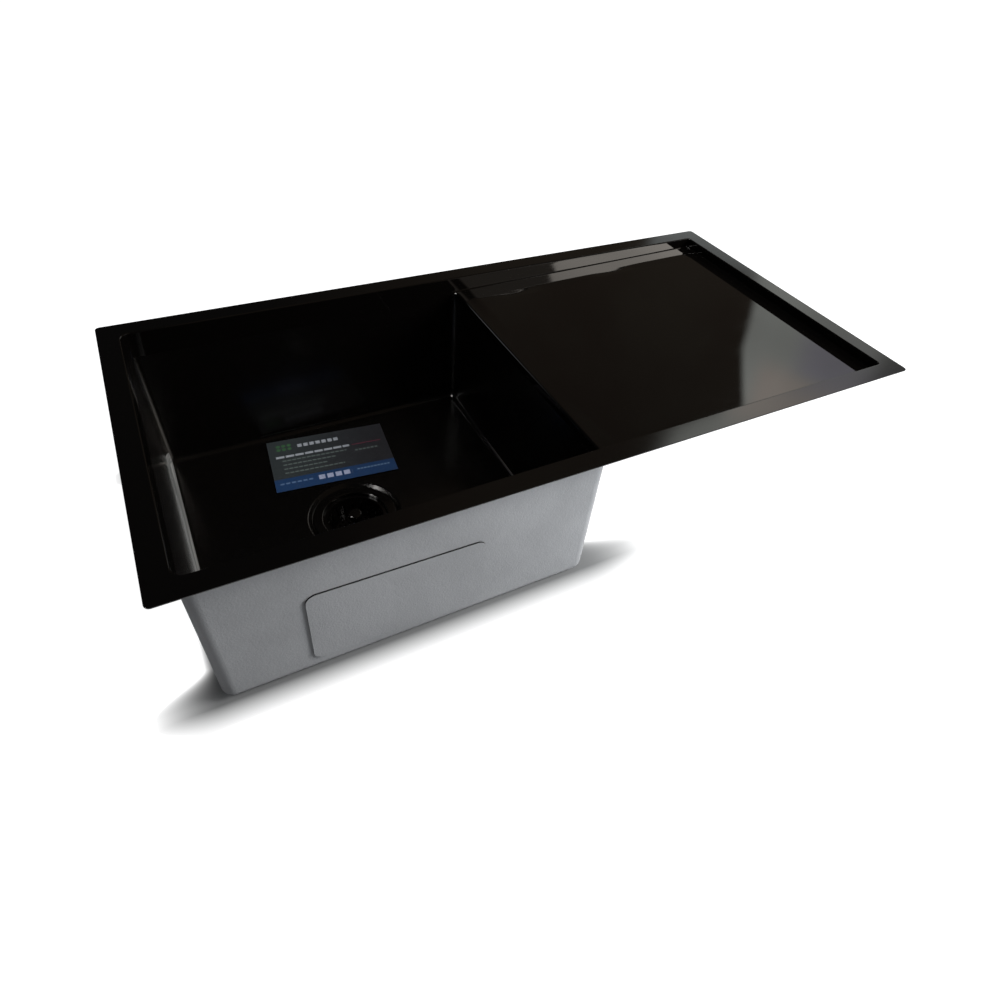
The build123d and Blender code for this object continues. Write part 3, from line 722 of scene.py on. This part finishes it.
def world():
    """Even light on matt surfaces, a white backdrop, and the room that gloss shows."""
    studio = bpy.data.worlds.new("studio")
    bpy.context.scene.world = studio
    studio.use_nodes = True
    room = Room(studio.node_tree)
    bounced_once = 1 - room.bounced_twice
    room.lit_side()
    room.lay(room.patch(LOW_WALL_SIDES, LOW_WALL_HEIGHTS), LOW_WALL_GLOW)
    room.curtain()
    room.lay(room.patch(FRONT_WALL_SIDES, FRONT_WALL_HEIGHTS) * room.bounced_twice, FRONT_WALL_GLOW)
    room.lay(room.patch(BACK_PANEL_SIDES, PANEL_HEIGHTS) * bounced_once, BACK_PANEL_GLOW)
    room.lay(room.patch(FRONT_PANEL_SIDES, PANEL_HEIGHTS) * bounced_once, FRONT_PANEL_GLOW)
    room.strip()
    room.lay(room.patch(WINDOW_SIDES, WINDOW_HEIGHTS) * room.bounced_twice, WINDOW_GLOW)
    light = room.blend(room.ray("Is Glossy Ray"), (AMBIENT,) * 3, room.seen)
    straight = room.ray("Is Camera Ray") + room.ray("Is Transmission Ray")
    light = room.blend(straight, light, WHITE)
    room.feed(studio.node_tree.nodes["Background"].inputs["Color"], light)


def lamp(name, place, aim, size, power, colour=WHITE):
    """Soft lamp turned to a point. Neither gloss nor the camera sees it."""
    data = bpy.data.lights.new(name, "AREA")
    data.shape = "RECTANGLE"
    data.size, data.size_y = size
    data.energy = power
    data.color = colour
    body = bpy.data.objects.new(name, data)
    body.location = place
    body.rotation_euler = (Vector(aim) - Vector(place)).to_track_quat("-Z", "Y").to_euler()
    body.visible_camera = False
    body.visible_glossy = False
    bpy.context.scene.collection.objects.link(body)


def lamps():
    """Soft light from above, a tall one from the front right, and a fill on the bowl's front."""
    turn = math.radians(SIDE_AZIMUTH)
    away = Vector((math.sin(turn), math.cos(turn), 0))
    lamp("key", KEY_PLACE, KEY_AIM, KEY_SIZE, KEY_WATTS)
    lamp("side", SIDE_PLACE, Vector(SIDE_PLACE) - away, SIDE_SIZE, SIDE_WATTS, SIDE_COLOUR)
    lamp("fill", FILL_PLACE, FILL_AIM, FILL_SIZE, FILL_WATTS, FILL_COLOUR)


def contact_light(finish):
    """Mask of the painted contact shadow: 1 on the open floor, falling to 0 at the bowl's foot, where the
    painted shadow is deepest.
    """
    low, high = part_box("bowl_coating")
    middle = (low + high) / 2
    x, y, _ = finish.axes(finish.place)
    past_end = abs(x - middle.x) - (high.x - middle.x)
    past_side = abs(y) - high.y
    band = abs(past_side + SHADE_BAND_INSET).below(*SHADE_BAND_HALF)
    drawn_out = SHADE_LEFT + x.above(middle.x, SHADE_TURN) * (SHADE_RIGHT - SHADE_LEFT)
    reach = SHADE_SIDE + band * (drawn_out - SHADE_SIDE)
    end_light = (past_end / reach).clamped()
    side_dark = 1 - (past_side / SHADE_FRONT).clamped()
    return 1 - side_dark * (1 - end_light * end_light)


def stage_white():
    """White stage surface. To the eye it glows white far from the bowl. Round its foot the glow is held
    back in a painted contact shadow over the floor's lit dark grey.
    """
    finish = Finish("stage_white")
    finish.set("Roughness", 0.9)
    finish.set("Specular IOR Level", 0.0)
    grain = finish.noise(finish.place, scale=30, detail=2.0)
    finish.set("Base Color", finish.blend(grain, STAGE_DEEP, STAGE_PALE))
    light = contact_light(finish)
    # Painted shadow: the white glow follows the mask and falls away towards the bowl's foot
    glow = light * SHADE_GLOW + (light > NEARLY_ALL) * (1 - SHADE_GLOW)
    seen = finish.ray("Is Camera Ray") + finish.ray("Is Glossy Ray") + finish.ray("Is Transmission Ray")
    finish.set("Emission Color", finish.blend(seen * glow, UNLIT, WHITE))
    finish.set("Emission Strength", 1.0)
    return finish.material


def stage_floor():
    """Floor under everything, and the board. The board throws no shadow on the floor."""
    board_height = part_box("floor_sound_pads")[0].z - BOARD_GAP
    floor_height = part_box("tailpiece")[0].z - FLOOR_GAP
    drain = sum(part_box("lock_nut"), Vector()) / 2
    hole = (drain.x, drain.y, board_height)
    white = stage_white()
    unselect()
    bpy.ops.mesh.primitive_plane_add(size=FLOOR_SIZE, location=(0, 0, floor_height))
    floor = bpy.context.object
    floor.name = "floor"
    floor.data.materials.append(white)
    unselect()
    bpy.ops.mesh.primitive_circle_add(
        vertices=BOARD_EDGES,
        radius=BOARD_HOLE_RADIUS,
        fill_type="NOTHING",
        location=hole,
    )
    board = bpy.context.object
    board.name = "board"
    bpy.ops.object.mode_set(mode="EDIT")
    bpy.ops.mesh.select_all(action="SELECT")
    bpy.ops.mesh.extrude_edges_move()
    bpy.ops.transform.resize(value=(BOARD_SPREAD, BOARD_SPREAD, 1), center_override=hole)
    bpy.ops.object.mode_set(mode="OBJECT")
    bpy.ops.object.transform_apply(location=True, rotation=True, scale=True)
    board.data.materials.append(white)
    board.visible_shadow = False


def camera():
    data = bpy.data.cameras.new("camera")
    data.sensor_width = SENSOR_MM
    data.lens = CAMERA_LENS_MM
    data.clip_start = CAMERA_NEAR
    body = bpy.data.objects.new("camera", data)
    body.location = CAMERA_PLACE
    body.rotation_euler = [math.radians(turn) for turn in CAMERA_TURN]
    bpy.context.scene.collection.objects.link(body)
    bpy.context.scene.camera = body


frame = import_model()
bpy.context.scene.view_settings.view_transform = "Standard"
camera()
world()
lamps()
stage_floor()
dress(frame["nodes"])
care_label()
